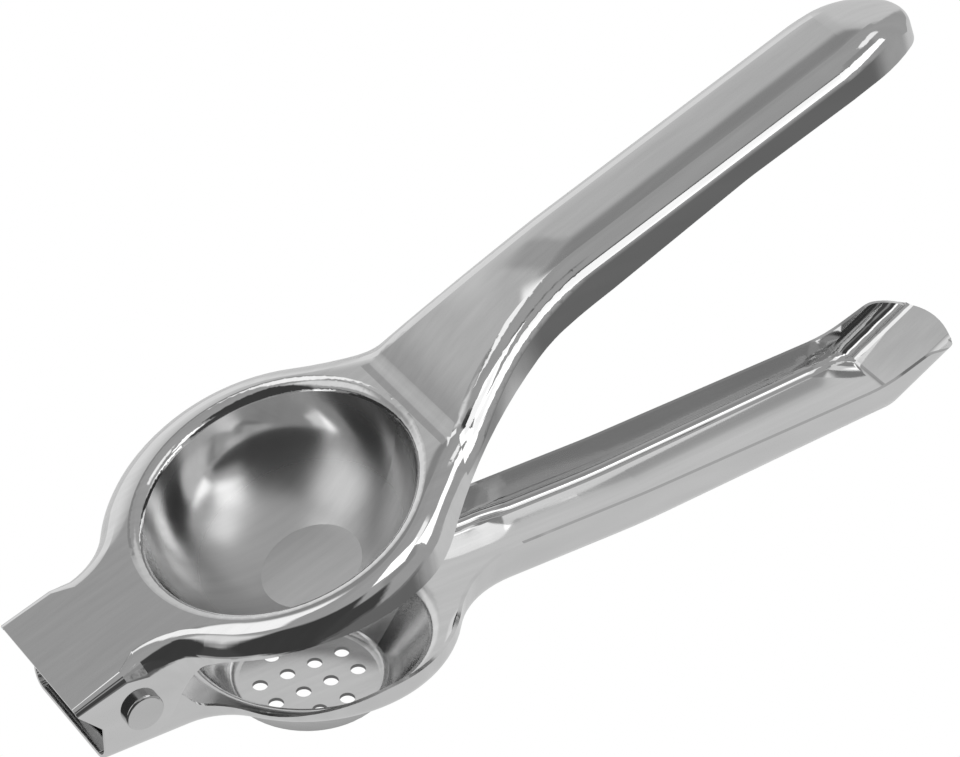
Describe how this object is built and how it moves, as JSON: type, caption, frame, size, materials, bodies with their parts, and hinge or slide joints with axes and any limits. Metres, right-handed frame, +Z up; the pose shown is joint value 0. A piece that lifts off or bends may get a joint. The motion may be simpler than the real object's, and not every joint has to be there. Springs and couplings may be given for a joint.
{
  "type": "lemon squeezer",
  "caption": "Hand lemon squeezer of polished sheet steel: an upper lever with a pressing cup hinged by a rivet to a lower lever with a perforated strainer bowl.",
  "frame": {"origin": "centre of the flat underside of the strainer bowl, where the squeezer stands", "axes": "+X from the hinge towards the handles, +Z up, +Y to the left of someone looking along +X"},
  "size_m": [0.2194, 0.0734, 0.1153],
  "materials": {
    "polished_steel": "mirror-polished stainless sheet steel",
    "rivet_steel": "polished stainless steel, turned and headed"
  },
  "bodies": {
    "lower": {"lower_lever": "polished_steel"},
    "upper": {"upper_lever": "polished_steel", "hinge_rivet": "rivet_steel"}
  },
  "joints": [
    {"name": "hinge", "type": "hinge", "parent": "lower", "child": "upper", "pos_m": [-0.0462, 0, 0.026], "axis": [0, -1, 0], "range_deg": [-22, 60]}
  ]
}
